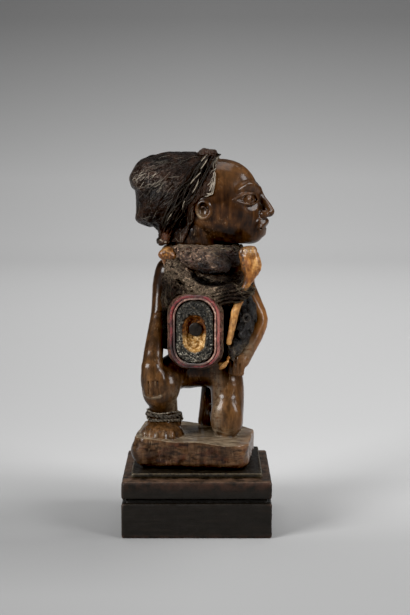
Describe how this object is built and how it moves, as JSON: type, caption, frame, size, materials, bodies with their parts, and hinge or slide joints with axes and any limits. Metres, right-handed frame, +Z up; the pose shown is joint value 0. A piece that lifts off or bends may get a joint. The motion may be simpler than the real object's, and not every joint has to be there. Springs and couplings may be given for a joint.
{
  "type": "nkisi power figure",
  "caption": "Kneeling carved wood power figure with a hide cap, cloth and fibre wraps, a belly charm pack with a mirror, and bone pendants, on a grooved wooden plinth.",
  "frame": {"origin": "centre of the plinth's underside, the surface it stands on", "axes": "+Z up along the figure; the plinth's and the figure's front face -Y; +X is to the right seen from the front, where the head looks"},
  "size_m": [0.0902, 0.088, 0.2314],
  "materials": {
    "carved_wood": "dark brown, polished by handling, worn and golden on raised places",
    "hide": "blackened, wrinkled and scratched, with a dull sheen",
    "cord": "dark twisted plant fibre, greasy",
    "fibre_wrap": "crusted cloth and fibre, matt, with pale strands",
    "resin": "dark gritty resin with a crusty inlay round the mirror",
    "red_cloth": "faded red trade cloth, frayed",
    "pale_cloth": "pinkish cream cloth edge, soiled",
    "mirror_glass": "small round glass, darkened",
    "bone": "amber bone, oiled and worn smooth",
    "dark_plate": "dark satin with worn edges",
    "plinth_wood": "near-black stained wood, satin, worn reddish on edges"
  },
  "bodies": {
    "root": {"carved_figure": "carved_wood", "hide_cap": "hide", "cap_cord": "cord", "neck_roll": "fibre_wrap", "chest_wrap": "fibre_wrap", "belt_bundle": "fibre_wrap", "bone_pendant_right": "bone", "bone_pendant_left": "bone", "bone_chip": "bone", "charm_pack": "resin", "red_cloth_strip": "red_cloth", "pale_cloth_strip": "pale_cloth", "mirror": "mirror_glass", "anklet": "cord", "plate": "dark_plate", "plinth": "plinth_wood"}
  },
  "joints": []
}
